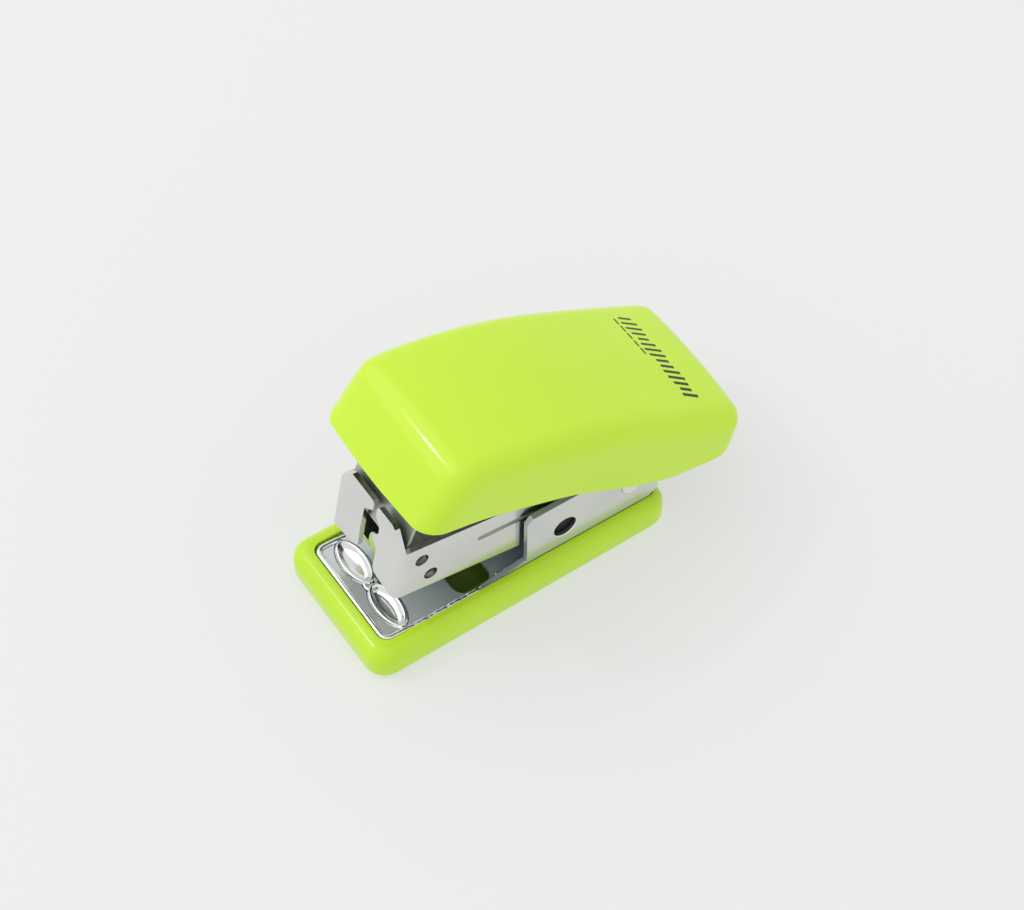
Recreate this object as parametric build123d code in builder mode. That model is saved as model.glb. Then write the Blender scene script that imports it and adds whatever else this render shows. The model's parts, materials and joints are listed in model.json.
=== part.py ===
"""Mini stapler for 24/6 staples, at rest with the handle up.

Millimetres. The origin is the centre of the base's underside, +Z is up and the
anvil end points to -Y. Every body is drawn in the closed position, where base,
magazine and handle lie level. The magazine's and the handle's planes are then
swung nose up about the pivot rivet by their rest angles.
"""
import os
from build123d import *

os.makedirs("parts", exist_ok=True)

# ---- pivot and rest angles -------------------------------------------------
PIVOT_Y, PIVOT_Z = 17.8, 10.4
MAGAZINE_TILT = 9.5          # magazine above the closed position, degrees
HANDLE_TILT = 21.0           # handle above the closed position, degrees
PIN_R = 1.2
PIN_HOLE_R = 1.25            # running holes in the magazine and the hammer frame

# ---- base ------------------------------------------------------------------
BASE_W, BASE_L, BASE_H = 22.8, 46.8, 5.2
BASE_REAR_W = 21.5           # the base narrows towards the rear
BASE_CORNER_R = 3.1
LEDGE_Z = 3.8                # seat of the plate in the cover
SHEET = 0.8                  # thickness of the pressed steel
PLATE_TOP = LEDGE_Z + SHEET
PLATE_FRONT, PLATE_REAR = -20.8, 22.2
PLATE_CORNER_R = 1.5
FLANGE_X = 8.85              # outer face of the bracket's upright sides
FLANGE_FRONT, FLANGE_TOP = 1.4, 14.7
HOLE_Y, HOLE_Z, HOLE_R = 7.35, 8.95, 1.85
PAD_T = 0.4                  # pads between the magazine and the bracket
WINDOW_Y, WINDOW_X, WINDOW_L, WINDOW_R = -5.9, 16.6, 5.6, 2.2   # opening in the plate
LIFT_RIVET_Y = 13.6
RIVET_R = 0.7                # shanks of the small rivets
HEAD_R, HEAD_T = 1.55, 0.35  # pivot rivet heads
ANVIL_Y, ANVIL_TOP = -17.1, 5.0
ANVIL_X, ANVIL_LENGTH_R, ANVIL_WIDTH_R = 4.0, 4.0, 1.95   # each of the two oval dishes

# ---- magazine, closed position ---------------------------------------------
MAG_X = 7.5                  # outer half width, 15 mm for a 12.9 mm crown
MAG_WALL = 0.8
MAG_INNER_X = MAG_X - MAG_WALL
MAG_FRONT, MAG_REAR = -18.0, 20.6
MAG_BOTTOM, MAG_TOP = 5.4, 14.3
FLAP_TOP = 17.6              # top of the two flaps that close the front
FLOOR_TOP = MAG_BOTTOM + MAG_WALL
SLOT_FRONT = MAG_FRONT + 0.75
STRIP_FRONT, STRIP_REAR = -15.9, -0.4
RAIL_X, RAIL_TOP, RAIL_WALL = 5.55, 12.1, 0.6
RAIL_REAR = 14.6
RAIL_RIVET_Y = 10.5          # the two rivets, ahead of and behind the middle
GROOVE = 0.35                # depth of the groove pressed into each side wall
ROD_Z, ROD_R = 7.95, 0.6
CROWN_X, WIRE = 6.45, 0.5    # 24/6 staple: 12.9 mm crown

# ---- handle, closed position -----------------------------------------------
HANDLE_X = 12.1
HANDLE_WALL = 1.5
HANDLE_FRONT, HANDLE_BOTTOM = -21.2, 15.2
BLADE_Y, BLADE_T, BLADE_BOTTOM = -16.45, 0.5, 5.6
FRAME_X, FRAME_WALL, FRAME_TOP, FRAME_BOTTOM = 6.5, 0.65, 19.6, 13.3
RIBS_Y = (-9.0, 7.0)         # cross ribs of the cover that sit on the frame


def swing(tilt):
    """Turn from the closed position to a rest angle about the pivot."""
    return Pos(0, PIVOT_Y, PIVOT_Z) * Rot(-tilt, 0, 0) * Pos(0, -PIVOT_Y, -PIVOT_Z)


def side(tilt, x=0.0):
    """Plane drawn in (y, z), looking along -X."""
    return Plane(swing(tilt) * Plane.YZ.offset(x).location)


def front(tilt, y):
    """Plane drawn in (x, z); extruding goes towards -Y."""
    return Plane(swing(tilt) * Plane.XZ.offset(-y).location)


def top(tilt, z):
    """Plane drawn in (x, y) at a height in the closed position."""
    return Plane(swing(tilt) * Plane.XY.offset(z).location)


def nearest(edges, tilt, *points):
    """The edge nearest each point, the points given in the closed position."""
    turn = swing(tilt)
    spots = [(turn * Pos(*p)).position for p in points]
    return [min(edges, key=lambda e: ((e @ 0.5) - spot).length) for spot in spots]


def save(block, name):
    block.part.label = name
    export_step(block.part, f"parts/{name}.step")


# ============================ base body ======================================
with BuildPart() as base_cover:
    with BuildSketch(Plane.XY):
        with BuildLine():
            Polyline(
                (-BASE_W / 2, -BASE_L / 2), (BASE_W / 2, -BASE_L / 2),
                (BASE_REAR_W / 2, BASE_L / 2), (-BASE_REAR_W / 2, BASE_L / 2), close=True,
            )
        make_face()
        fillet(vertices(), BASE_CORNER_R)
    extrude(amount=BASE_H)
    fillet(base_cover.faces().sort_by(Axis.Z)[-1].edges(), 2.2)
    fillet(base_cover.faces().sort_by(Axis.Z)[0].edges(), 1.4)
    # seat for the metal plate
    with BuildSketch(Plane.XY.offset(LEDGE_Z)):
        with Locations((0, (PLATE_FRONT + PLATE_REAR) / 2)):
            RectangleRounded(2 * FLANGE_X + 0.2, PLATE_REAR - PLATE_FRONT + 0.2, PLATE_CORNER_R + 0.1)
    extrude(amount=BASE_H, mode=Mode.SUBTRACT)
    # hollow under the plate, between cross ribs
    with BuildSketch(Plane.XY.offset(1.4)):
        for y0, y1 in ((-12.6, -0.6), (0.6, 9.4), (10.6, 20.8)):
            with Locations((0, (y0 + y1) / 2)):
                RectangleRounded(14.8, y1 - y0, 0.8)
    extrude(amount=BASE_H, mode=Mode.SUBTRACT)
save(base_cover, "base_cover")

with BuildPart() as base_bracket:
    with BuildSketch(Plane.XY.offset(LEDGE_Z)):
        with Locations((0, (PLATE_FRONT + PLATE_REAR) / 2)):
            RectangleRounded(2 * FLANGE_X, PLATE_REAR - PLATE_FRONT, PLATE_CORNER_R)
    extrude(amount=SHEET)
    # upright sides and the low gussets that run into them
    for x in (-FLANGE_X, FLANGE_X - SHEET):
        with BuildSketch(side(0, x)):
            with BuildLine():
                Polyline(
                    (-5.6, LEDGE_Z), (PLATE_REAR - 2.8, LEDGE_Z), (PLATE_REAR, LEDGE_Z + 2.8),
                    (PLATE_REAR, 10.6), (PLATE_REAR - 3.6, FLANGE_TOP),
                    (FLANGE_FRONT + 0.9, FLANGE_TOP), (FLANGE_FRONT, FLANGE_TOP - 0.9),
                    (FLANGE_FRONT, 5.9), (-5.6, PLATE_TOP + 0.05), close=True,
                )
            make_face()
        extrude(amount=SHEET)
    # rolled bead along the front edge
    with BuildSketch(side(0, -7.2)):
        with Locations((PLATE_FRONT + 0.45, PLATE_TOP)):
            Circle(0.42)
    extrude(amount=14.4)
    # window across the plate
    with BuildSketch(Plane.XY.offset(LEDGE_Z - 0.5)):
        with Locations((0, WINDOW_Y)):
            RectangleRounded(WINDOW_X, WINDOW_L, WINDOW_R)
    extrude(amount=SHEET + 0.6, mode=Mode.SUBTRACT)
    # opening for the anvil insert
    with BuildSketch(Plane.XY.offset(LEDGE_Z - 0.5)):
        for x in (-ANVIL_X, ANVIL_X):
            with Locations((x, ANVIL_Y)):
                Ellipse(ANVIL_LENGTH_R + 0.05, ANVIL_WIDTH_R + 0.05)
        with Locations((0, ANVIL_Y)):
            Rectangle(3.0, 2.3)
    extrude(amount=SHEET + 1.0, mode=Mode.SUBTRACT)
    # round hole in each upright side, pivot holes and the spring rivet's hole
    with BuildSketch(side(0, -12)):
        with Locations((HOLE_Y, HOLE_Z)):
            Circle(HOLE_R)
        with Locations((PIVOT_Y, PIVOT_Z)):
            Circle(PIN_R)
    extrude(amount=24, mode=Mode.SUBTRACT)
    with BuildSketch(Plane.XY.offset(LEDGE_Z - 0.5)):
        with Locations((0, LIFT_RIVET_Y)):
            Circle(RIVET_R)
    extrude(amount=SHEET + 1.0, mode=Mode.SUBTRACT)
save(base_bracket, "base_bracket")

with BuildPart() as guide_pads:
    # pads behind the round holes that centre the magazine between the sides
    for x in (-FLANGE_X + SHEET, FLANGE_X - SHEET - PAD_T):
        with BuildSketch(side(0, x)):
            with Locations((HOLE_Y, HOLE_Z)):
                Circle(HOLE_R + 0.5)
        extrude(amount=PAD_T)
save(guide_pads, "guide_pads")

with BuildPart() as anvil:
    with BuildSketch(Plane.XY.offset(LEDGE_Z)):
        for x in (-ANVIL_X, ANVIL_X):
            with Locations((x, ANVIL_Y)):
                Ellipse(ANVIL_LENGTH_R, ANVIL_WIDTH_R)
        with Locations((0, ANVIL_Y)):
            Rectangle(3.0, 2.2)
    extrude(amount=ANVIL_TOP - LEDGE_Z)
    # one crimping pocket under each leg, deepest at its outer end
    for s in (-1, 1):
        with BuildSketch(Plane.XY.offset(ANVIL_TOP - 0.28)):
            with Locations((s * ANVIL_X, ANVIL_Y)):
                Ellipse(3.2, 1.3)
        extrude(amount=1.0, mode=Mode.SUBTRACT)
        with BuildSketch(Plane.XY.offset(ANVIL_TOP - 0.62)):
            with Locations((s * (ANVIL_X + 0.9), ANVIL_Y)):
                Ellipse(1.8, 0.9)
        extrude(amount=1.0, mode=Mode.SUBTRACT)
save(anvil, "anvil")

with BuildPart() as pivot_rivet:
    with BuildSketch(side(0, -FLANGE_X)):
        with Locations((PIVOT_Y, PIVOT_Z)):
            Circle(PIN_R)
    extrude(amount=2 * FLANGE_X)
    for x in (-FLANGE_X - HEAD_T, FLANGE_X):
        with BuildSketch(side(0, x)):
            with Locations((PIVOT_Y, PIVOT_Z)):
                Circle(HEAD_R)
        extrude(amount=HEAD_T)
    fillet(pivot_rivet.faces().sort_by(Axis.X)[0].edges(), 0.2)
    fillet(pivot_rivet.faces().sort_by(Axis.X)[-1].edges(), 0.2)
save(pivot_rivet, "pivot_rivet")

with BuildPart() as pivot_spacer:
    with BuildSketch(side(0, -5.6)):
        with Locations((PIVOT_Y, PIVOT_Z)):
            Circle(1.8)
            Circle(PIN_R, mode=Mode.SUBTRACT)
    extrude(amount=11.2)
save(pivot_spacer, "pivot_spacer")

with BuildPart() as lift_spring:
    # leaf that pushes the magazine up, riveted flat at its rear
    with BuildSketch(side(0, -3.0)):
        with BuildLine():
            Line((15.4, PLATE_TOP + 0.17), (11.8, PLATE_TOP + 0.17))
            Spline((11.8, PLATE_TOP + 0.17), (7.4, PLATE_TOP + 1.5), (4.4, 7.25), (3.0, 7.3),
                   tangents=((-1, 0), (-1, -0.3)))
        trace(line_width=0.3)
    extrude(amount=6.0)
    with BuildSketch(Plane.XY.offset(PLATE_TOP - 1)):
        with Locations((0, LIFT_RIVET_Y)):
            Circle(RIVET_R)
    extrude(amount=2.5, mode=Mode.SUBTRACT)
save(lift_spring, "lift_spring")

with BuildPart() as lift_spring_rivet:
    with BuildSketch(Plane.XY.offset(LEDGE_Z - 0.3)):
        with Locations((0, LIFT_RIVET_Y)):
            Circle(RIVET_R)
    extrude(amount=PLATE_TOP + 0.36 - LEDGE_Z + 0.3)
    with BuildSketch(Plane.XY.offset(PLATE_TOP + 0.36)):
        with Locations((0, LIFT_RIVET_Y)):
            Circle(1.3)
    extrude(amount=0.26)
    with BuildSketch(Plane.XY.offset(LEDGE_Z - 0.3)):
        with Locations((0, LIFT_RIVET_Y)):
            Circle(1.2)
    extrude(amount=0.3)
    fillet(lift_spring_rivet.faces().sort_by(Axis.Z)[-1].edges(), 0.15)
save(lift_spring_rivet, "lift_spring_rivet")

# ============================ magazine body ==================================
M = MAGAZINE_TILT
with BuildPart() as magazine_channel:
    # side walls folded round into the front wall, and the floor
    with BuildSketch(top(M, MAG_BOTTOM)):
        with BuildLine():
            Polyline((-MAG_X, MAG_REAR), (-MAG_X, MAG_FRONT), (MAG_X, MAG_FRONT), (MAG_X, MAG_REAR), close=True)
        make_face()
        fillet(vertices().group_by(Axis.Y)[0], 1.1)
        with Locations((0, (SLOT_FRONT + MAG_REAR + 1) / 2)):
            Rectangle(2 * MAG_INNER_X, MAG_REAR + 1 - SLOT_FRONT, mode=Mode.SUBTRACT)
    extrude(amount=FLAP_TOP - MAG_BOTTOM)
    with BuildSketch(top(M, MAG_BOTTOM)):
        with Locations((0, (STRIP_FRONT + MAG_REAR) / 2)):
            Rectangle(2 * MAG_X, MAG_REAR - STRIP_FRONT)
    extrude(amount=MAG_WALL)
    # side walls end lower than the front wall, with a sloped rear corner
    with BuildSketch(side(M, -MAG_X - 1)):
        with BuildLine():
            Polyline(
                (SLOT_FRONT, MAG_TOP), (MAG_REAR - 2.0, MAG_TOP), (MAG_REAR, 12.0), (MAG_REAR + 1, 12.0),
                (MAG_REAR + 1, FLAP_TOP + 1), (SLOT_FRONT, FLAP_TOP + 1), close=True,
            )
        make_face()
    extrude(amount=2 * MAG_X + 2, mode=Mode.SUBTRACT)
    # gap that parts the front wall into two flaps, and the flaps' sloped outer corners
    with BuildSketch(front(M, SLOT_FRONT + 0.05)):
        with BuildLine():
            Polyline(
                (-MAG_X, MAG_BOTTOM), (-1.9, 6.5), (-1.3, 7.0), (-1.4, 10.7), (-1.25, 14.6), (0.4, 15.9),
                (0.5, 17.2), (0.1, FLAP_TOP), (1.6, FLAP_TOP), (1.2, 17.0), (1.2, 15.9), (2.3, 14.2),
                (2.3, 13.2), (1.6, 12.5), (1.4, 11.8), (1.6, 11.1), (2.4, 10.4), (2.3, 6.7), (2.6, 6.0),
                (MAG_X, MAG_BOTTOM), close=True,
            )
        make_face()
        for s in (-1, 1):
            with BuildLine():
                Polyline((s * (MAG_X + 1), MAG_TOP), (s * MAG_X, MAG_TOP), (s * 5.3, 17.2),
                         (s * 4.7, FLAP_TOP), (s * (MAG_X + 1), FLAP_TOP), close=True)
            make_face()
    extrude(amount=1.2, mode=Mode.SUBTRACT)
    # tongue turned up from the floor, holding the guide rod
    with BuildSketch(front(M, STRIP_FRONT + 0.6)):
        with Locations((0, (FLOOR_TOP + 7.2) / 2)):
            Rectangle(3.6, 7.2 - FLOOR_TOP)
        with Locations((0, 7.2)):
            Circle(1.8)
    extrude(amount=0.6)
    # two round holes in each side wall, pivot holes
    with BuildSketch(side(M, -12)):
        with Locations((-14.5, 11.6), (-12.6, 7.9)):
            Circle(1.0)
        with Locations((PIVOT_Y, PIVOT_Z)):
            Circle(PIN_HOLE_R)
    extrude(amount=24, mode=Mode.SUBTRACT)
    # long groove in each side wall
    for x in (GROOVE - MAG_X - 1, MAG_X - GROOVE):
        with BuildSketch(side(M, x)):
            with Locations((0.4, 11.3)):
                SlotOverall(12.4, 0.9, rotation=4)
        extrude(amount=1, mode=Mode.SUBTRACT)
    # rivet holes in the floor
    with BuildSketch(top(M, MAG_BOTTOM - 1)):
        with Locations((0, -RAIL_RIVET_Y), (0, RAIL_RIVET_Y)):
            Circle(RIVET_R)
    extrude(amount=2.5, mode=Mode.SUBTRACT)
    # seat of the guide rod in the tongue
    with BuildSketch(front(M, STRIP_FRONT + 1.0)):
        with Locations((0, ROD_Z)):
            Circle(ROD_R)
    extrude(amount=1.2, mode=Mode.SUBTRACT)
save(magazine_channel, "magazine_channel")

with BuildPart() as staple_rail:
    # inverted channel that carries the staples, on two feet turned inwards
    with BuildSketch(front(M, RAIL_REAR)):
        with Locations((0, (FLOOR_TOP + RAIL_TOP) / 2)):
            Rectangle(2 * RAIL_X, RAIL_TOP - FLOOR_TOP)
            Rectangle(2 * (RAIL_X - RAIL_WALL), RAIL_TOP - FLOOR_TOP - 2 * 0.4, mode=Mode.SUBTRACT)
    extrude(amount=RAIL_REAR - STRIP_FRONT)
    # open floor between the feet's cross straps
    with BuildSketch(top(M, FLOOR_TOP - 0.2)):
        for y0, y1 in ((-17.0, -12.0), (-9.0, 9.0), (12.0, 16.0)):
            with Locations((0, (y0 + y1) / 2)):
                Rectangle(2 * (RAIL_X - RAIL_WALL), y1 - y0)
    extrude(amount=0.7, mode=Mode.SUBTRACT)
    # track for the pusher's neck, open at the rear
    with BuildSketch(top(M, RAIL_TOP - 1)):
        with Locations((0, 1.6)):
            Rectangle(2.0, 26.6)
    extrude(amount=1.2, mode=Mode.SUBTRACT)
    with BuildSketch(top(M, FLOOR_TOP - 0.5)):
        with Locations((0, -RAIL_RIVET_Y), (0, RAIL_RIVET_Y)):
            Circle(RIVET_R)
    extrude(amount=1.5, mode=Mode.SUBTRACT)
save(staple_rail, "staple_rail")

with BuildPart() as rail_rivets:
    for y in (-RAIL_RIVET_Y, RAIL_RIVET_Y):
        with BuildSketch(top(M, MAG_BOTTOM - 0.25)):
            with Locations((0, y)):
                Circle(1.2)
        extrude(amount=0.25)
        with BuildSketch(top(M, MAG_BOTTOM)):
            with Locations((0, y)):
                Circle(RIVET_R)
        extrude(amount=MAG_WALL + 0.4)
        with BuildSketch(top(M, FLOOR_TOP + 0.4)):
            with Locations((0, y)):
                Circle(RIVET_R)
        extrude(amount=0.1)
save(rail_rivets, "rail_rivets")

with BuildPart() as staple_strip:
    # glued strip of 24/6 staples astride the rail
    with BuildSketch(front(M, STRIP_REAR)):
        with Locations((0, (FLOOR_TOP + 0.06 + 12.68) / 2)):
            Rectangle(2 * CROWN_X, 12.68 - FLOOR_TOP - 0.06)
        with Locations((0, (FLOOR_TOP + 12.16) / 2)):
            Rectangle(2 * (CROWN_X - WIRE), 12.16 - FLOOR_TOP + 0.2, mode=Mode.SUBTRACT)
    extrude(amount=STRIP_REAR - STRIP_FRONT)
save(staple_strip, "staple_strip")

with BuildPart() as guide_rod:
    with BuildSketch(front(M, RAIL_REAR + 1.0)):
        with Locations((0, ROD_Z)):
            Circle(ROD_R)
    extrude(amount=RAIL_REAR + 1.0 - STRIP_FRONT)
save(guide_rod, "guide_rod")

with BuildPart() as spring_seat:
    # plate that closes the rail's rear and carries the rod and the spring
    with BuildSketch(front(M, RAIL_REAR + 0.8)):
        with Locations((0, (FLOOR_TOP + 11.4) / 2)):
            Rectangle(10.0, 11.4 - FLOOR_TOP)
        with Locations((0, ROD_Z)):
            Circle(ROD_R, mode=Mode.SUBTRACT)
    extrude(amount=0.8)
save(spring_seat, "spring_seat")

PUSHER_FRONT, PUSHER_REAR = STRIP_REAR, STRIP_REAR + 4.2
with BuildPart() as pusher:
    # saddle over the rail
    with BuildSketch(front(M, PUSHER_REAR)):
        with Locations((0, (6.6 + 12.95) / 2)):
            Rectangle(2 * 6.4, 12.95 - 6.6)
        with Locations((0, (6.0 + 12.3) / 2)):
            Rectangle(2 * 5.85, 6.3, mode=Mode.SUBTRACT)
    extrude(amount=PUSHER_REAR - PUSHER_FRONT)
    # neck through the rail's track and block on the guide rod
    with BuildSketch(front(M, PUSHER_REAR)):
        with Locations((0, 11.0)):
            Rectangle(1.6, 3.4)
        with Locations((0, 8.7)):
            Rectangle(4.4, 3.6)
        with Locations((0, ROD_Z)):
            Circle(ROD_R + 0.06, mode=Mode.SUBTRACT)
    extrude(amount=PUSHER_REAR - PUSHER_FRONT - 0.6)
save(pusher, "pusher")

with BuildPart() as pusher_spring:
    # coil on the guide rod between the pusher and the seat
    seat = front(M, RAIL_REAR - 0.2)
    coil_len = RAIL_REAR - PUSHER_REAR - 0.4
    with BuildLine() as coil:
        Helix(pitch=coil_len / 9, height=coil_len, radius=1.05,
              center=seat.from_local_coords((0, ROD_Z, 0)), direction=seat.z_dir)
    with BuildSketch(Plane(coil.line @ 0, z_dir=coil.line % 0)):
        Circle(0.17)
    sweep()
save(pusher_spring, "pusher_spring")

# ============================ handle body ====================================
H = HANDLE_TILT
ROOF = ((31.0, 22.3), (26.4, 23.3), (19.9, 24.6), (10.6, 26.2), (3.2, 27.05), (-4.0, 27.15),
        (-11.0, 26.6), (-18.3, 25.1))
with BuildPart() as handle_cover:
    with BuildSketch(side(H, 0)):
        with BuildLine():
            Spline((HANDLE_FRONT, HANDLE_BOTTOM), (-12.0, 16.3), (-4.5, 16.3), (3.9, 15.9),
                   (12.0, 14.5), (19.5, 13.7), (25.0, 14.8), (31.8, 16.3))
            Line((31.8, 16.3), ROOF[0])
            Spline(*ROOF)
            Line(ROOF[-1], (HANDLE_FRONT, HANDLE_BOTTOM))
        make_face()
    extrude(amount=HANDLE_X, both=True)
    fillet(nearest(handle_cover.edges(), H, (0, *ROOF[-1]), (0, *ROOF[0])), 3.2)
    rim = nearest(handle_cover.edges(), H, *[(x, y, z) for x in (-HANDLE_X, HANDLE_X)
                                             for y, z in ((-19.8, 20.0), (5.0, 27.0), (31.4, 19.2))])
    fillet(rim, 3.0)
    # hollow inside
    with BuildSketch(side(H, 0)):
        with BuildLine():
            Polyline((ROOF[-1][0] + 1.7, ROOF[-1][1] - 1.7), (-19.8, HANDLE_BOTTOM), (-19.8, 8.0),
                     (29.9, 8.0), (29.9, 16.0), (ROOF[0][0] - 1.7, ROOF[0][1] - 1.5))
            Spline((ROOF[0][0] - 1.7, ROOF[0][1] - 1.5), *[(y, z - 1.6) for y, z in ROOF[1:-1]],
                   (ROOF[-1][0] + 1.7, ROOF[-1][1] - 1.7))
        make_face()
    extrude(amount=HANDLE_X - HANDLE_WALL, both=True, mode=Mode.SUBTRACT)
    # cross ribs with pegs that locate the steel frame
    for y in RIBS_Y:
        with BuildSketch(top(H, FRAME_TOP)):
            with Locations((0, y)):
                Rectangle(2 * (HANDLE_X - HANDLE_WALL) + 0.4, 1.2)
        extrude(amount=5.6)
        with BuildSketch(top(H, FRAME_TOP - 1.0)):
            with Locations((0, y)):
                Circle(0.6)
        extrude(amount=1.4)
save(handle_cover, "handle_cover")

with BuildPart() as hammer_frame:
    # side walls with ears that reach down to the pivot
    for x in (-FRAME_X, FRAME_X - FRAME_WALL):
        with BuildSketch(side(H, x)):
            with BuildLine():
                Polyline(
                    (-16.2, FRAME_TOP), (18.6, FRAME_TOP), (20.8, 17.4), (20.8, PIVOT_Z),
                    (14.8, PIVOT_Z), (11.9, FRAME_BOTTOM), (-16.2, FRAME_BOTTOM), close=True,
                )
            make_face()
            with Locations((PIVOT_Y, PIVOT_Z)):
                Circle(3.0)
        extrude(amount=FRAME_WALL)
    # top plate and front wall
    with BuildSketch(top(H, FRAME_TOP - SHEET)):
        with Locations((0, (18.6 - 16.2) / 2)):
            Rectangle(2 * FRAME_X, 18.6 + 16.2)
        with Locations(*[(0, y) for y in RIBS_Y]):
            Circle(0.6, mode=Mode.SUBTRACT)
        with Locations((0, 0)):
            Circle(0.7, mode=Mode.SUBTRACT)
    extrude(amount=SHEET)
    with BuildSketch(front(H, -15.4)):
        with Locations((0, (FRAME_TOP + FRAME_BOTTOM) / 2)):
            Rectangle(2 * FRAME_X, FRAME_TOP - FRAME_BOTTOM)
        with Locations((-3.2, 16.4), (3.2, 16.4)):
            Circle(0.7, mode=Mode.SUBTRACT)
    extrude(amount=0.8)
    with BuildSketch(side(H, -12)):
        with Locations((PIVOT_Y, PIVOT_Z)):
            Circle(PIN_HOLE_R)
    extrude(amount=24, mode=Mode.SUBTRACT)
save(hammer_frame, "hammer_frame")

with BuildPart() as driver_blade:
    with BuildSketch(front(H, BLADE_Y + BLADE_T / 2)):
        with Locations((0, (18.9 + BLADE_BOTTOM) / 2)):
            Rectangle(2 * CROWN_X, 18.9 - BLADE_BOTTOM)
        with Locations((-3.2, 16.4), (3.2, 16.4)):
            Circle(0.7, mode=Mode.SUBTRACT)
    extrude(amount=BLADE_T)
save(driver_blade, "driver_blade")

with BuildPart() as blade_rivets:
    for x in (-3.2, 3.2):
        with BuildSketch(front(H, -15.1)):
            with Locations((x, 16.4)):
                Circle(RIVET_R)
        extrude(amount=1.9)
        for y, t in ((-15.1, 0.3), (BLADE_Y - BLADE_T / 2, 0.3)):
            with BuildSketch(front(H, y)):
                with Locations((x, 16.4)):
                    Circle(1.2)
            extrude(amount=t)
save(blade_rivets, "blade_rivets")

with BuildPart() as handle_spring:
    # leaf that lifts the handle off the magazine
    with BuildSketch(side(H, -4.0)):
        with BuildLine():
            Line((-2.0, FRAME_TOP - SHEET - 0.17), (2.2, FRAME_TOP - SHEET - 0.17))
            Spline((2.2, FRAME_TOP - SHEET - 0.17), (7.6, 15.2), (12.2, 11.4),
                   tangents=((1, 0), (1, -0.5)))
        trace(line_width=0.3)
    extrude(amount=8.0)
    with BuildSketch(top(H, FRAME_TOP - SHEET - 1)):
        Circle(RIVET_R)
    extrude(amount=1.5, mode=Mode.SUBTRACT)
save(handle_spring, "handle_spring")

with BuildPart() as handle_spring_rivet:
    with BuildSketch(top(H, FRAME_TOP - SHEET - 0.6)):
        Circle(RIVET_R)
    extrude(amount=SHEET + 0.9)
    with BuildSketch(top(H, FRAME_TOP)):
        Circle(1.3)
    extrude(amount=0.3)
    with BuildSketch(top(H, FRAME_TOP - SHEET - 0.65)):
        Circle(1.3)
    extrude(amount=0.3)
save(handle_spring_rivet, "handle_spring_rivet")
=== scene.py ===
import json
import math

import bmesh
import bpy
import numpy as np
from mathutils import Matrix, Vector
from mathutils.bvhtree import BVHTree

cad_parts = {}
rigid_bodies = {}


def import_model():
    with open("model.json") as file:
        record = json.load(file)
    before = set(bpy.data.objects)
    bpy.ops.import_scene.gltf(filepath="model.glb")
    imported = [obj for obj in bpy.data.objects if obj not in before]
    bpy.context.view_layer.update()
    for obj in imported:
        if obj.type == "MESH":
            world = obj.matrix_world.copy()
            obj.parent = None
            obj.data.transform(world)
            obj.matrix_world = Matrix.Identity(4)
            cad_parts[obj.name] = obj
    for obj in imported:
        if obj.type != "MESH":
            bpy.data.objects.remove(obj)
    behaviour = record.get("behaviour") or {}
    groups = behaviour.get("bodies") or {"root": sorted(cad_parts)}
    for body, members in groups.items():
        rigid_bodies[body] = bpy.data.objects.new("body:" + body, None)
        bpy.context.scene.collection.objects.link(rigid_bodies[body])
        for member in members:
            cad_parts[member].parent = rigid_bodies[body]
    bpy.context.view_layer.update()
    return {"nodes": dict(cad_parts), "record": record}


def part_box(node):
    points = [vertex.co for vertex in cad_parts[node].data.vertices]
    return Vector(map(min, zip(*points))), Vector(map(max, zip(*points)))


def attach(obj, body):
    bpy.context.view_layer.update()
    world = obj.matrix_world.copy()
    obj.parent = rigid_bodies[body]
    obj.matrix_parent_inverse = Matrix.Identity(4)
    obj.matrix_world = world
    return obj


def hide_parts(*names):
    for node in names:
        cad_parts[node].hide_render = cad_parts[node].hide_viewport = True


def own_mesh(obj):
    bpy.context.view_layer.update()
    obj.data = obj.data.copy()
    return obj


for o in list(bpy.data.objects):
    bpy.data.objects.remove(o)
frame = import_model()
nodes = frame["nodes"]
scene = bpy.context.scene
MM = 0.001

# ---------------------------------------------------------------- materials


def material(name, **inputs):
    """A Principled material; inputs are set on the shader's own sockets."""
    m = bpy.data.materials.new(name)
    m.use_nodes = True
    bsdf = m.node_tree.nodes["Principled BSDF"]
    for key, value in inputs.items():
        bsdf.inputs[key.replace("_", " ")].default_value = value
    return m, m.node_tree, bsdf


def noise(tree, scale, detail=3.0, rough=0.5, stretch=(1, 1, 1)):
    """Noise over the object's own coordinates, in cycles per metre."""
    coords = tree.nodes.new("ShaderNodeTexCoord")
    mapping = tree.nodes.new("ShaderNodeMapping")
    mapping.inputs["Scale"].default_value = stretch
    tex = tree.nodes.new("ShaderNodeTexNoise")
    tex.inputs["Scale"].default_value = scale
    tex.inputs["Detail"].default_value = detail
    tex.inputs["Roughness"].default_value = rough
    tree.links.new(coords.outputs["Object"], mapping.inputs["Vector"])
    tree.links.new(mapping.outputs["Vector"], tex.inputs["Vector"])
    return tex.outputs["Fac"]


def ramp(tree, fac, low, high, start=0.3, end=0.7):
    """Maps a factor to a range of values or colours."""
    r = tree.nodes.new("ShaderNodeValToRGB")
    r.color_ramp.elements[0].position = start
    r.color_ramp.elements[1].position = end
    grey = not isinstance(low, tuple)
    r.color_ramp.elements[0].color = (low, low, low, 1) if grey else (*low, 1)
    r.color_ramp.elements[1].color = (high, high, high, 1) if grey else (*high, 1)
    tree.links.new(fac, r.inputs["Fac"])
    return r.outputs["Color"]


def bump(tree, bsdf, height, strength, distance):
    """Ties a height pattern to the shader's normal."""
    b = tree.nodes.new("ShaderNodeBump")
    b.inputs["Strength"].default_value = strength
    b.inputs["Distance"].default_value = distance
    tree.links.new(height, b.inputs["Height"])
    tree.links.new(b.outputs["Normal"], bsdf.inputs["Normal"])


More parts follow.
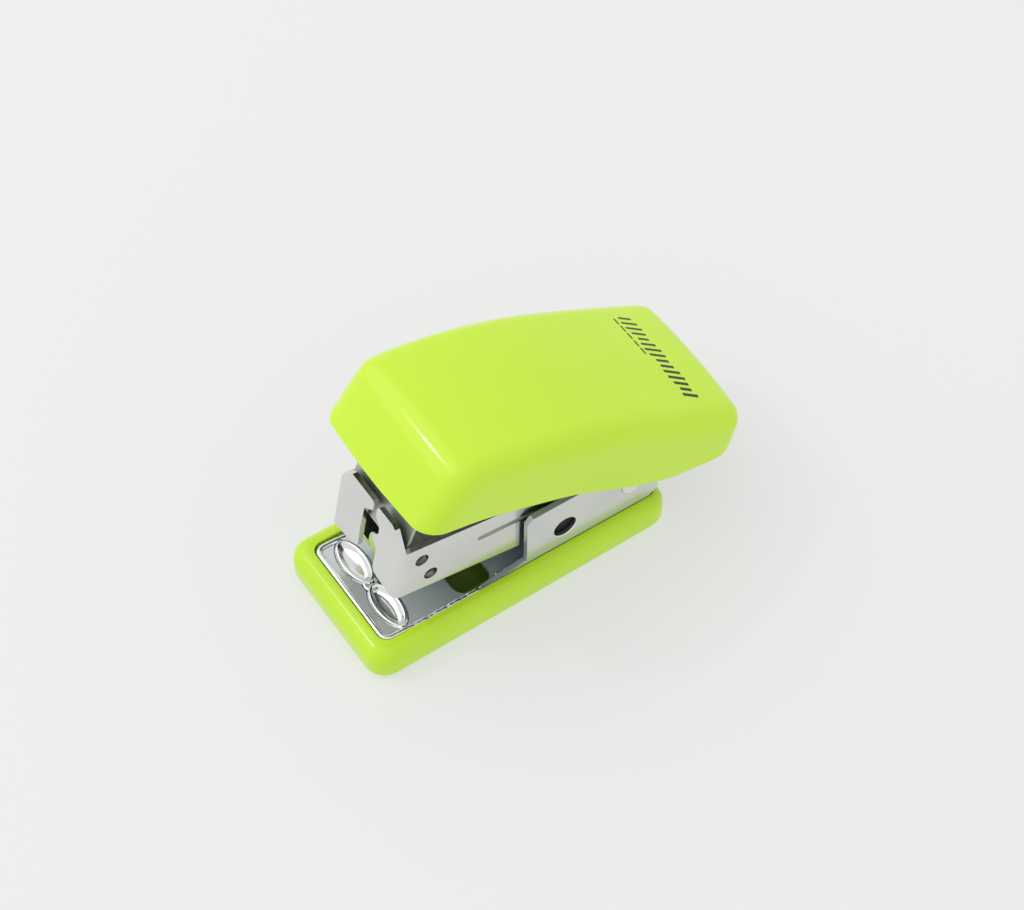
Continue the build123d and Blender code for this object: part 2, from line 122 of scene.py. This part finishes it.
def paint_hollow_shade(tree, colour, shade_tint, reach, start, end, half=(1.0, 1.0)):
    """Painted shade: multiplies the colour by a tint where ambient occlusion finds geometry within reach, at
    points within half (x, y) of the middle.
    """
    ao = tree.nodes.new("ShaderNodeAmbientOcclusion")
    ao.inputs["Distance"].default_value = reach
    ao.samples = 8
    coords = tree.nodes.new("ShaderNodeTexCoord")
    aside = tree.nodes.new("ShaderNodeVectorMath")
    aside.operation = "ABSOLUTE"
    tree.links.new(coords.outputs["Object"], aside.inputs[0])
    within = tree.nodes.new("ShaderNodeVectorMath")
    within.operation = "DIVIDE"
    within.inputs[1].default_value = (*half, 1.0)
    tree.links.new(aside.outputs["Vector"], within.inputs[0])
    axes = tree.nodes.new("ShaderNodeSeparateXYZ")
    tree.links.new(within.outputs["Vector"], axes.inputs["Vector"])
    furthest = tree.nodes.new("ShaderNodeMath")
    furthest.operation = "MAXIMUM"
    tree.links.new(axes.outputs["X"], furthest.inputs[0])
    tree.links.new(axes.outputs["Y"], furthest.inputs[1])
    inside = tree.nodes.new("ShaderNodeMath")
    inside.operation = "LESS_THAN"
    inside.inputs[1].default_value = 1.0
    tree.links.new(furthest.outputs["Value"], inside.inputs[0])
    mix = tree.nodes.new("ShaderNodeMix")
    mix.data_type = "RGBA"
    mix.blend_type = "MULTIPLY"
    tree.links.new(inside.outputs["Value"], mix.inputs["Factor"])
    tree.links.new(colour, mix.inputs["A"])
    tree.links.new(ramp(tree, ao.outputs["AO"], shade_tint, (1.0, 1.0, 1.0), start, end), mix.inputs["B"])
    return mix.outputs["Result"]


def plastic(name, low, high, rough, peel=0.05, hollow_shade=None, gloss=0.5):
    """Moulded plastic: faint tone drift, orange peel and roughness drift, with painted shade in hollows if
    given.
    """
    m, t, b = material(name, IOR=1.48, Specular_IOR_Level=gloss)
    colour = ramp(t, noise(t, scale=60, detail=2), low, high)
    if hollow_shade:
        colour = paint_hollow_shade(t, colour, *hollow_shade)
    t.links.new(colour, b.inputs["Base Color"])
    t.links.new(ramp(t, noise(t, scale=400, detail=4), *rough), b.inputs["Roughness"])
    bump(t, b, noise(t, scale=500, detail=2), peel, 0.1 * MM)
    return m


def metal(name, low, high, rough, stretch, grain, strength=0.02, metallic=1.0, hollow_shade=None):
    """Pressed or drawn steel: a tone drift, fine grain along one direction, with painted shade in hollows if
    given.
    """
    m, t, b = material(name, Metallic=metallic)
    colour = ramp(t, noise(t, scale=120), low, high)
    if hollow_shade:
        colour = paint_hollow_shade(t, colour, *hollow_shade)
    t.links.new(colour, b.inputs["Base Color"])
    fine = noise(t, scale=grain, stretch=stretch)
    t.links.new(ramp(t, fine, *rough), b.inputs["Roughness"])
    bump(t, b, fine, strength, 0.02 * MM)
    return m


# hollow_shade = (shade_tint, reach, start and end of the ramp, half): painted shade in hollows, gaps and
# undersides; tuned against the photograph
# painted shade: the handle darkened where other parts lie within reach, mostly inside and underneath
green = plastic("lime_gloss_plastic", (0.575, 0.845, 0.034), (0.60, 0.87, 0.042), (0.13, 0.18),
                hollow_shade=((0.22, 0.24, 0.4), 14 * MM, 0.2, 0.6))
# painted shade: the green inside the plate's outline, seen through the window, darkened where closed in
base_green = plastic("lime_base_plastic", (0.52, 0.80, 0.024), (0.545, 0.825, 0.031), (0.15, 0.2),
                     hollow_shade=((0.16, 0.18, 0.6), 14 * MM, 0.3, 0.9, (8.6 * MM, 20 * MM)))
black = plastic("black_plastic", (0.006, 0.007, 0.012), (0.012, 0.013, 0.02), (0.4, 0.55),
                gloss=0.15)
ink = plastic("black_print", (0.016, 0.024, 0.010), (0.04, 0.055, 0.02), (0.4, 0.5))
# painted shade: the magazine channel darkened inside and where the handle closes over it
plate = metal("nickel_plate", (0.70, 0.70, 0.69), (0.76, 0.76, 0.75), (0.15, 0.22),
              stretch=(1, 0.2, 1), grain=900, hollow_shade=((0.50, 0.54, 0.47), 7 * MM, 0.15, 0.55))
# painted shade with a painted bluish reflection: the bracket and plate darkened and cooled where closed in
# under the magazine
bracket = metal("bracket_plate", (0.66, 0.67, 0.655), (0.73, 0.74, 0.725), (0.18, 0.26),
                stretch=(1, 0.3, 1), grain=700, metallic=0.6,
                hollow_shade=((0.66, 0.82, 0.90), 12 * MM, 0.2, 0.7))
bright = metal("bright_nickel", (0.80, 0.80, 0.79), (0.88, 0.88, 0.87), (0.10, 0.16),
               stretch=(1, 0.4, 1), grain=700, strength=0.01)
# painted shade: the steel parts inside (hammer frame, blade, rail) darkened where closed in
steel = metal("plain_steel", (0.50, 0.52, 0.48), (0.58, 0.60, 0.56), (0.4, 0.5),
              stretch=(1, 1, 0.2), grain=900, strength=0.03, metallic=0.7,
              hollow_shade=((0.65, 0.68, 0.62), 5 * MM, 0.15, 0.5))
spring = metal("spring_steel", (0.36, 0.37, 0.40), (0.44, 0.45, 0.48), (0.2, 0.32),
               stretch=(1, 0.2, 1), grain=1200, strength=0.03)
wire = metal("staple_wire", (0.62, 0.63, 0.60), (0.70, 0.71, 0.68), (0.35, 0.45),
             stretch=(0.2, 1, 1), grain=1200, strength=0.03, metallic=0.7)

LOOKS = {
    "handle_cover": green, "base_cover": base_green, "pusher": black, "guide_pads": black,
    "base_bracket": bracket, "magazine_channel": plate, "anvil": bright, "pivot_rivet": bright,
    "staple_strip": wire, "lift_spring": spring, "pusher_spring": spring, "handle_spring": spring,
}
for name, obj in nodes.items():
    look = LOOKS.get(name, steel)
    if not obj.material_slots:
        obj.data.materials.append(look)
    for slot in obj.material_slots:
        slot.material = look


def edge_break(obj, width, segments=2, angle=40):
    """Small rounded edges on pressed and moulded parts."""
    mod = obj.modifiers.new("edges", "BEVEL")
    mod.width = width
    mod.segments = segments
    mod.limit_method = "ANGLE"
    mod.angle_limit = math.radians(angle)
    mod.harden_normals = True


edge_break(nodes["magazine_channel"], 0.2 * MM, 3)
for name in ("base_bracket", "hammer_frame", "driver_blade", "staple_rail", "pusher"):
    edge_break(nodes[name], 0.12 * MM)
edge_break(nodes["base_cover"], 0.15 * MM)

# ---------------------------------------------------------------- helpers

joints = {j["name"]: j for j in frame["record"]["behaviour"]["joints"]}
PIVOT = Vector(joints["magazine_hinge"]["pos_m"])
MAGAZINE_TILT, HANDLE_TILT = math.radians(9.5), math.radians(21.0)


def swung(tilt):
    """Turns the closed position's coordinates to a rest tilt about the pivot."""
    return Matrix.Translation(PIVOT) @ Matrix.Rotation(-tilt, 4, "X") @ Matrix.Translation(-PIVOT)


def piece(name, verts, faces, look, body, tilt=0.0, replaces=(), smooth=True):
    """A mesh piece from millimetre points of the closed position, swung to its rest tilt."""
    mesh = bpy.data.meshes.new(name)
    mesh.from_pydata([tuple(c * MM for c in v) for v in verts], [], faces)
    bm = bmesh.new()
    bm.from_mesh(mesh)
    bmesh.ops.recalc_face_normals(bm, faces=bm.faces)
    bm.to_mesh(mesh)
    bm.free()
    mesh.transform(swung(tilt))
    for poly in mesh.polygons:
        poly.use_smooth = smooth
    mesh.materials.append(look)
    obj = bpy.data.objects.new(name, mesh)
    scene.collection.objects.link(obj)
    if replaces:
        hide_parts(*replaces)
    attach(obj, body)
    return obj


def curve_through(points, step=0.25):
    """Points every step along a Catmull-Rom curve through 2-D points."""
    pts = np.array(points, float)
    pts = np.vstack([2 * pts[0] - pts[1], pts, 2 * pts[-1] - pts[-2]])
    out = []
    for a, b, c, d in zip(pts, pts[1:], pts[2:], pts[3:]):
        for t in np.arange(0, 1, step / max(np.linalg.norm(c - b), step)):
            out.append(0.5 * (2 * b + (c - a) * t + (2 * a - 5 * b + 4 * c - d) * t * t
                              + (3 * b - a - 3 * c + d) * t ** 3))
    out.append(pts[-2])
    return np.array(out)


def interpolated(at, known, points):
    """The points interpolated at new places, given the places they are known at."""
    return np.stack([np.interp(at, known, points[:, k]) for k in range(points.shape[1])], axis=1)


def lengths_along(points):
    """The distance along the polyline to each of its points."""
    return np.concatenate([[0], np.cumsum(np.linalg.norm(np.diff(points, axis=0), axis=1))])


def even(points, count):
    """The polyline resampled to evenly spaced points."""
    along = lengths_along(points)
    return interpolated(np.linspace(0, along[-1], count), along, points)


def join_rings(faces, base, rings, around):
    """Joins rings of points that follow each other, and closes both ends."""
    for r in range(rings - 1):
        low, high = base + r * around, base + (r + 1) * around
        for k in range(around):
            m = (k + 1) % around
            faces.append((low + k, low + m, high + m, high + k))
    last = base + (rings - 1) * around
    faces.extend([tuple(base + k for k in range(around)), tuple(last + k for k in range(around))])


def join_fours(faces, base, steps):
    """Joins sets of four points into a flat bar: one side low and high, then the other side."""
    for i in range(steps):
        k = base + 4 * i
        faces.extend([(k + 1, k + 5, k + 7, k + 3), (k, k + 2, k + 6, k + 4),
                      (k, k + 4, k + 5, k + 1), (k + 2, k + 3, k + 7, k + 6)])
    k = base + 4 * steps
    faces.extend([(base, base + 1, base + 3, base + 2), (k, k + 2, k + 3, k + 1)])


# ---------------------------------------------------------------- handle cover

HALF_W, WALL, EDGE_R = 12.1, 1.5, 3.0
FRONT_LOW, FRONT_HIGH = (-21.66, 13.6), (-18.3, 25.2)
REAR_HIGH, REAR_LOW = (31.5, 22.6), (32.3, 14.0)
ROOF = [FRONT_HIGH, (-11.0, 26.65), (-4.0, 27.2), (3.2, 27.1), (10.6, 26.25), (19.9, 24.65),
        (26.4, 23.4), REAR_HIGH]
LOWER_EDGE = [(-22.5, 15.1), (-21.2, 15.2), (-12.0, 16.3), (-4.5, 16.3), (3.9, 15.9), (12.0, 14.5),
              (19.5, 13.7), (24.6, 14.4), (28.4, 15.2), (31.2, 17.0), (32.6, 19.0)]
CROWN = 0.6                  # how far the faces fall from the middle to the sides
ROUNDING, SUNK_ROUNDING = 1.7, 1.1         # softness of the profile's corners, drawn and moved inwards
TOUCH = 0.005                # how much nearer than its depth a sunk point may lie
PROFILE_POINTS = 420
FLAT_COLUMNS, TURN_COLUMNS = 13, 8         # columns of points over the middle and over each long edge
SIDE_ROWS, ROOF_ROWS = 10, 96              # rows down the sides and ends, and along the roof
ROOF_SPAN = (0.125, 0.93)                  # the parts of the profile where the roof's rows start and end
RIB_YS, RIB_HALF_W, RIB_HALF_T, RIB_LOW, RIB_HIGH = (-9.0, 7.0), 10.5, 0.6, 19.6, 24.6
SHELL_BREAK, SHELL_BREAK_ANGLE = 0.28, 72  # the sharp edges' rounding, and from what angle on


def soften(line, reach):
    """Rounds the corners of an even polyline over about the given length."""
    gap = np.linalg.norm(line[1] - line[0])
    for _ in range(int(2 * (reach / gap) ** 2)):
        line[1:-1] = 0.25 * line[:-2] + 0.5 * line[1:-1] + 0.25 * line[2:]
    return line


def handle_profile():
    """The handle's long section as even points with outward normals."""
    line = np.vstack([curve_through([FRONT_LOW, FRONT_HIGH])[:-1], curve_through(ROOF)[:-1],
                      curve_through([REAR_HIGH, REAR_LOW])])
    line = soften(even(line, PROFILE_POINTS), ROUNDING)
    tangent = np.gradient(line, axis=0)
    tangent /= np.linalg.norm(tangent, axis=1)[:, None]
    return line, np.stack([-tangent[:, 1], tangent[:, 0]], axis=1)


def sunk(line, normal, depth):
    """The profile moved inwards, without the loops that tight corners would make."""
    moved = line - normal * depth
    gaps = np.array([np.min(np.hypot(*(line - point).T)) for point in moved])
    clear = np.nonzero(gaps > depth - TOUCH)[0]
    return soften(interpolated(np.arange(len(line)), clear, moved[clear]), SUNK_ROUNDING)


def shell_grid(inset):
    """One skin, moved in by inset: columns of points over the roof, and its two flat sides."""
    line, normal = handle_profile()
    half, radius = HALF_W - inset, EDGE_R - inset
    flat = half - radius
    lower = curve_through(LOWER_EDGE)

    def edge_height(y):
        return np.interp(y, lower[:, 0], lower[:, 1])

    turn = [(math.sin(a), 1 - math.cos(a)) for a in np.linspace(0, math.pi / 2, TURN_COLUMNS + 1)[1:]]
    across = ([(-flat - s * radius, d * radius) for s, d in reversed(turn)]
              + [(x, 0.0) for x in np.linspace(-flat, flat, FLAT_COLUMNS)]
              + [(flat + s * radius, d * radius) for s, d in turn])
    first, last = (int(part * len(line)) for part in ROOF_SPAN)
    columns = []
    for x, drop in across:
        col = sunk(line, normal, inset + drop + CROWN * (x / half) ** 2)
        above = np.nonzero(col[:, 1] > edge_height(col[:, 0]))[0]
        picks = np.concatenate([np.linspace(above[0], first, SIDE_ROWS + 1)[:-1],
                                np.linspace(first, last, ROOF_ROWS),
                                np.linspace(last, above[-1], SIDE_ROWS + 1)[1:]])
        pts = interpolated(picks, np.arange(len(col)), col)
        for end in (0, -1):
            pts[end, 1] = edge_height(pts[end, 0])
        columns.append([(x, y, z) for y, z in pts])
    sides = []
    for x, col in ((-half, columns[0]), (half, columns[-1])):
        edge = np.array(col[SIDE_ROWS:SIDE_ROWS + ROOF_ROWS])[:, 1:]
        along = lengths_along(edge)
        y_low = col[0][1] + (col[-1][1] - col[0][1]) * along / along[-1]
        foot = np.stack([y_low, edge_height(y_low)], axis=1)
        sides.append([[(x, *(foot[i] + (edge[i] - foot[i]) * j / SIDE_ROWS)) for j in range(SIDE_ROWS)]
                      for i in range(ROOF_ROWS)])
    return columns, sides


def handle_shell():
    """Outer and inner skins, joined along the lower edge."""
    verts, faces, borders = [], [], []

    def add(p):
        verts.append(tuple(float(c) for c in p))
        return len(verts) - 1

    for inset in (0.0, WALL):
        columns, sides = shell_grid(inset)
        grid = [[add(p) for p in col] for col in columns]
        nets = [grid]
        for side, col in zip(sides, (grid[0], grid[-1])):
            net = [col[:SIDE_ROWS + 1]]
            for i in range(1, ROOF_ROWS - 1):
                net.append([add(p) for p in side[i]] + [col[SIDE_ROWS + i]])
            net.append(col[:SIDE_ROWS + ROOF_ROWS - 2:-1])
            nets.append(net)
        for net in nets:
            for a, b in zip(net, net[1:]):
                faces.extend((a[j], b[j], b[j + 1], a[j + 1]) for j in range(len(a) - 1))
        borders.append([[col[0] for col in grid], [col[-1] for col in grid]]
                       + [[row[0] for row in net] for net in nets[1:]])
    for outer, inner in zip(*borders):
        faces.extend((outer[k], outer[k + 1], inner[k + 1], inner[k]) for k in range(len(outer) - 1))
    return verts, faces


def slab(verts, faces, low, high):
    """Adds a closed box between two corners."""
    base = len(verts)
    for x in (low[0], high[0]):
        for y in (low[1], high[1]):
            for z in (low[2], high[2]):
                verts.append((x, y, z))
    for f in ((0, 1, 3, 2), (4, 6, 7, 5), (0, 4, 5, 1), (2, 3, 7, 6), (0, 2, 6, 4), (1, 5, 7, 3)):
        faces.append(tuple(base + i for i in f))


shell_verts, shell_faces = handle_shell()
for y in RIB_YS:
    slab(shell_verts, shell_faces, (-RIB_HALF_W, y - RIB_HALF_T, RIB_LOW),
         (RIB_HALF_W, y + RIB_HALF_T, RIB_HIGH))
handle = piece("handle_shell", shell_verts, shell_faces, green, "handle", HANDLE_TILT,
               ("handle_cover",))
edge_break(handle, SHELL_BREAK * MM, 3, SHELL_BREAK_ANGLE)

# ---------------------------------------------------------------- printed mark

MARK_X, MARK_Y = -7.6, 23.3  # the first bar's middle
BARS, BAR_PITCH, BAR_LEAN, BAR_WIDTH, BAR_GROWTH = 15, 1.07, 0.25, 0.34, 0.012
BAR_REACH, BAR_SWELL = 0.6, 0.5            # half a bar's least length, and how much more it may be
DASHES, DASH_PITCH, DASH_LENGTH, DASH_WIDTH, DASH_DROP = 5, 1.5, 0.9, 0.24, 1.9
INK_T, STROKE_STEPS, SKY_Z = 0.03, 4, 60

roof_tree = BVHTree.FromPolygons(shell_verts, shell_faces)


def print_stroke(verts, faces, start, end, width):
    """A printed stroke that follows the roof between two points in (x, y)."""
    a, b = Vector((*start, 0)), Vector((*end, 0))
    along = (b - a).normalized() * width / 2
    across = Vector((-along.y, along.x, 0))
    base = len(verts)
    for i in range(STROKE_STEPS + 1):
        mid = (a - along).lerp(b + along, i / STROKE_STEPS)
        for shift in (across, -across):
            p = mid + shift
            z = roof_tree.ray_cast(Vector((p.x, p.y, SKY_Z)), Vector((0, 0, -1)))[0].z
            verts.extend([(p.x, p.y, z - INK_T), (p.x, p.y, z + INK_T)])
    join_fours(faces, base, STROKE_STEPS)


mark_verts, mark_faces = [], []
for i in range(BARS):
    x, reach = MARK_X + BAR_PITCH * i, BAR_REACH + BAR_SWELL * abs(math.sin(0.7 * i + 0.4))
    lean = BAR_LEAN * reach
    print_stroke(mark_verts, mark_faces, (x - lean, MARK_Y - reach), (x + lean, MARK_Y + reach),
                 BAR_WIDTH + BAR_GROWTH * i)
for i in range(DASHES):
    x, y = MARK_X + DASH_PITCH * i, MARK_Y - DASH_DROP
    print_stroke(mark_verts, mark_faces, (x, y), (x + DASH_LENGTH, y), DASH_WIDTH)
piece("printed_bars", mark_verts, mark_faces, ink, "handle", HANDLE_TILT, smooth=False)

# ---------------------------------------------------------------- anvil

# (distance in from the outline, height over the anvil's top) of a dish and of the stud between them
RIM = [(0.0, -1.2), (0.0, -0.46), (0.08, -0.40), (0.18, -0.20), (0.28, -0.05), (0.38, 0.0),
       (0.48, -0.03), (0.60, -0.14), (0.76, -0.32), (0.94, -0.50), (1.12, -0.62), (1.32, -0.69),
       (1.55, -0.73), (1.88, -0.75)]
STUD = [(0, -1.2), (0, -0.5), (0.12, -0.34), (0.3, -0.24), (0.6, -0.3), (0.95, -0.36)]
STUD_A, STUD_B = 1.35, 1.1
DISH_STEPS = 72


def dish(verts, faces, centre, a, b, profile):
    """A closed oval dish; its deep rings are scaled, since moved in they would cross the middle."""
    base = len(verts)
    for inset, z in profile:
        for k in range(DISH_STEPS):
            t = 2 * math.pi * k / DISH_STEPS
            p = Vector((a * math.cos(t), b * math.sin(t)))
            if inset <= 0.9 * b:
                p -= Vector((b * math.cos(t), a * math.sin(t))).normalized() * inset
            else:
                p *= max(1 - inset / b, 0.0)
            verts.append((centre[0] + p.x, centre[1] + p.y, z))
    join_rings(faces, base, len(profile), DISH_STEPS)


anvil_low, anvil_high = (Vector(c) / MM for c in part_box("anvil"))
anvil_y, top_z = (anvil_low.y + anvil_high.y) / 2, anvil_high.z
dish_a, dish_b = (anvil_high.x - anvil_low.x) / 4, (anvil_high.y - anvil_low.y) / 2
anvil_verts, anvil_faces = [], []
for x, a, b, profile in ((-dish_a, dish_a, dish_b, RIM), (dish_a, dish_a, dish_b, RIM),
                         (0, STUD_A, STUD_B, STUD)):
    dish(anvil_verts, anvil_faces, (x, anvil_y), a, b, [(inset, top_z + rise) for inset, rise in profile])
piece("anvil_dishes", anvil_verts, anvil_faces, bright, "base", replaces=("anvil",))

# ---------------------------------------------------------------- rolled edge of the plate

END_SHARE = 0.35             # a tube's end ring, as a share of its radius
ROLL_R, CORNER_R, PLATE_TOP = 0.45, 1.1, 4.6
ROLL_BACK, LEG_POINTS, CORNER_POINTS = 0.6, 70, 12
FADE_START, FADE = 2, 3      # behind the front, where the legs start to sink, and over what length
SINK, RIPPLE = 0.33, 0.13    # how deep the legs lie in the plate, and how much that varies
FOOT_RIB_YS, FOOT_RIB_R, FOOT_RIB_RISE = (-2.6, -1.2, -0.2), 0.26, 0.02


def tube(verts, faces, path, radius, around=12):
    """A closed tube along 3-D points, with narrow ends."""
    base = len(verts)
    path = [Vector(p) for p in path]
    for i, p in enumerate(path):
        ahead = path[min(i + 1, len(path) - 1)] - path[max(i - 1, 0)]
        side = ahead.cross(Vector((0, 0, 1)))
        side = side.normalized() if side.length > 1e-6 else Vector((1, 0, 0))
        up = side.cross(ahead).normalized()
        r = radius * (END_SHARE if i in (0, len(path) - 1) else 1.0)
        for k in range(around):
            t = 2 * math.pi * k / around
            verts.append(tuple(p + side * r * math.cos(t) + up * r * math.sin(t)))
    join_rings(faces, base, len(path), around)


plate_low, plate_high = (Vector(c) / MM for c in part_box("base_bracket"))
roll_x, roll_y = plate_high.x - ROLL_R, plate_low.y + ROLL_R
right_leg = [(roll_x, y) for y in np.linspace(ROLL_BACK, roll_y + CORNER_R, LEG_POINTS)]
corner = [(roll_x - CORNER_R + CORNER_R * math.cos(a), roll_y + CORNER_R - CORNER_R * math.sin(a))
          for a in np.linspace(0, math.pi / 2, CORNER_POINTS)[1:]]
half_roll = right_leg + corner
outline = half_roll + [(-x, y) for x, y in reversed(half_roll)]
roll_path = []
for x, y in outline:
    sunk_in = min(max((y - roll_y - FADE_START) / FADE, 0), 1) * (abs(x) > roll_x - 0.01)
    depth = SINK + RIPPLE * math.sin(1.9 * y) * math.sin(4.3 * y + 1)
    roll_path.append((x, y, PLATE_TOP - sunk_in * depth))
roll_verts, roll_faces = [], []
tube(roll_verts, roll_faces, roll_path, ROLL_R)
for s in (-1, 1):
    for y in FOOT_RIB_YS:
        rib = [(s * (roll_x - inwards), y, PLATE_TOP + FOOT_RIB_RISE) for inwards in (0.9, 0.6, 0.3, 0)]
        tube(roll_verts, roll_faces, rib, FOOT_RIB_R)
piece("plate_rolled_edge", roll_verts, roll_faces, bright, "base")

# ---------------------------------------------------------------- collars of the bracket's round holes

HOLE_Y, HOLE_Z, HOLE_R = 7.35, 8.95, 1.85
COLLAR_STEPS = 48
# the collar's section: (distance out from the hole's edge, distance out from the side's face)
LIP = [(0.02, -0.8), (-0.16, -0.8), (-0.16, -0.12), (-0.12, 0.0), (-0.04, 0.04), (0.06, 0.03), (0.08, -0.03),
       (0.02, -0.05)]
collar_verts, collar_faces = [], []
for s in (-1, 1):
    start, n = len(collar_verts), len(LIP)
    for k in range(COLLAR_STEPS):
        t = 2 * math.pi * k / COLLAR_STEPS
        for out, x in LIP:
            collar_verts.append((s * (plate_high.x + x), HOLE_Y + (HOLE_R + out) * math.cos(t),
                                 HOLE_Z + (HOLE_R + out) * math.sin(t)))
    for k in range(COLLAR_STEPS):
        here, there = start + k * n, start + (k + 1) % COLLAR_STEPS * n
        for i in range(n):
            j = (i + 1) % n
            collar_faces.append((here + i, there + i, there + j, here + j))
collars = piece("hole_collars", collar_verts, collar_faces, bright, "base")
collars.modifiers.new("round", "SUBSURF").levels = 1

# ---------------------------------------------------------------- staples

STAPLES, STRIP_FRONT, STAPLE_PITCH = 30, -15.9, 0.5167
CROWN_X, CROWN_TOP, LEG_MIDDLE, LEG_FOOT = 6.45, 12.68, 9.0, 6.28      # CROWN_X is half the crown's width
WIRE, BEND, BEND_POINTS = 0.5, 0.45, 6
# the wire's section: (across the wire in the staple's plane, along the strip)
SECTION = [(0.25, 0.23), (0.23, 0.255), (-0.23, 0.255), (-0.25, 0.23), (-0.25, -0.23), (-0.23, -0.255),
           (0.23, -0.255), (0.25, -0.23)]
leg_x, crown_z = CROWN_X - WIRE / 2, CROWN_TOP - WIRE / 2
u_path = [(-leg_x, LEG_FOOT), (-leg_x, LEG_MIDDLE), (-leg_x, crown_z - BEND)]
u_path += [(-leg_x + BEND - BEND * math.cos(a), crown_z - BEND + BEND * math.sin(a))
           for a in np.linspace(0, math.pi / 2, BEND_POINTS)[1:]]
u_path += [(-x, z) for x, z in reversed(u_path)]
strip_verts, strip_faces = [], []
for n in range(STAPLES):
    y0 = STRIP_FRONT + STAPLE_PITCH * (n + 0.5)
    start = len(strip_verts)
    for i, (x, z) in enumerate(u_path):
        ahead = Vector(u_path[min(i + 1, len(u_path) - 1)]) - Vector(u_path[max(i - 1, 0)])
        out = Vector((-ahead.y, ahead.x)).normalized()
        for u, v in SECTION:
            strip_verts.append((x + out.x * u, y0 + v, z + out.y * u))
    join_rings(strip_faces, start, len(u_path), len(SECTION))
piece("staples", strip_verts, strip_faces, wire, "magazine", MAGAZINE_TILT, ("staple_strip",))

# ---------------------------------------------------------------- springs in their rest shape

# coil on the guide rod, fixed in its rest shape; the spring shortens towards the rear seat as the pusher
# slides back
ROD_Z, COIL_FRONT, COIL_REAR, COIL_R, COIL_WIRE = 7.95, 4.2, 14.4, 1.05, 0.17
TURNS, TURN_STEPS = 9, 24
all_turns = 2 * math.pi * TURNS
coil_path = [(COIL_R * math.cos(a), COIL_REAR + (COIL_FRONT - COIL_REAR) * a / all_turns,
              ROD_Z + COIL_R * math.sin(a)) for a in np.linspace(0, all_turns, TURN_STEPS * TURNS)]
coil_verts, coil_faces = [], []
tube(coil_verts, coil_faces, coil_path, COIL_WIRE, 8)
coil = piece("pusher_coil", coil_verts, coil_faces, spring, "magazine", MAGAZINE_TILT,
             ("pusher_spring",))
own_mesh(coil)

# leaf under the magazine, fixed in its rest shape; the spring flattens towards the plate as the magazine
# comes down
LEAF_X, LEAF_T, LEAF_POINTS = 3.0, 0.3, 40
LEAF = [(15.4, 4.77), (13.6, 4.77), (11.8, 4.77), (9.6, 5.15), (7.4, 6.1), (5.8, 6.85),
        (4.4, 7.25), (3.0, 7.3)]
leaf_verts, leaf_faces = [], []
for y, z in even(curve_through(LEAF), LEAF_POINTS):
    for x in (-LEAF_X, LEAF_X):
        leaf_verts.extend([(x, y, z - LEAF_T / 2), (x, y, z + LEAF_T / 2)])
join_fours(leaf_faces, 0, LEAF_POINTS - 1)
leaf = piece("lift_leaf", leaf_verts, leaf_faces, spring, "base",
             replaces=("lift_spring",), smooth=False)
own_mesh(leaf)

# ---------------------------------------------------------------- stage

FLOOR_HALF = 3
floor_mesh = bpy.data.meshes.new("floor")
corners = [(-FLOOR_HALF, -FLOOR_HALF, 0), (FLOOR_HALF, -FLOOR_HALF, 0), (FLOOR_HALF, FLOOR_HALF, 0),
           (-FLOOR_HALF, FLOOR_HALF, 0)]
floor_mesh.from_pydata(corners, [], [(0, 1, 2, 3)])
floor = bpy.data.objects.new("floor", floor_mesh)
scene.collection.objects.link(floor)
# the floor gives off light itself, more than half of what it shows: it keeps the shadows as pale as the
# photograph's, and isn't a measured property
floor_look = material("pale_floor", Base_Color=(0.33, 0.33, 0.32, 1), Roughness=0.6, Specular_IOR_Level=0.1,
                      Emission_Color=(1, 1, 1, 1), Emission_Strength=0.51)[0]
floor_mesh.materials.append(floor_look)

world = bpy.data.worlds.new("studio")
scene.world = world
world.use_nodes = True
sky = world.node_tree.nodes["Background"]
sky.inputs["Color"].default_value = (0.98, 0.985, 1.0, 1)
sky.inputs["Strength"].default_value = 0.86


def area(name, direction, size, power, distance=0.7):
    """A square softbox that looks at the object from a direction."""
    light = bpy.data.lights.new(name, "AREA")
    light.shape = "SQUARE"
    light.size = size
    light.energy = power
    obj = bpy.data.objects.new(name, light)
    scene.collection.objects.link(obj)
    aim = Vector((0, 0, 0.02))
    obj.location = aim + Vector(direction).normalized() * distance
    obj.rotation_euler = (obj.location - aim).to_track_quat("Z", "Y").to_euler()


area("key", (-0.50, -0.46, 0.75), size=0.75, power=1.25)
area("sparkle", (-0.41, -0.50, 0.76), size=0.03, power=0.36)

# camera fitted to the photograph's view
AZ, EL, ROLL = math.radians(55.51), math.radians(54.75), math.radians(0.86)
TARGET, DISTANCE, LENS = Vector((-0.00966, 0.01151, 0)), 0.46416, 120.51
back = Vector((math.sin(AZ) * math.cos(EL), -math.cos(AZ) * math.cos(EL), math.sin(EL)))
right = Vector((math.cos(AZ), math.sin(AZ), 0))
up = back.cross(right)
right, up = right * math.cos(ROLL) + up * math.sin(ROLL), up * math.cos(ROLL) - right * math.sin(ROLL)
cam_data = bpy.data.cameras.new("camera")
cam_data.lens = LENS
cam_data.clip_start = 0.01
cam = bpy.data.objects.new("camera", cam_data)
scene.collection.objects.link(cam)
turned = Matrix((right, up, back)).transposed().to_4x4()
cam.matrix_world = Matrix.Translation(TARGET + back * DISTANCE) @ turned
scene.camera = cam
scene.view_settings.view_transform = "Standard"
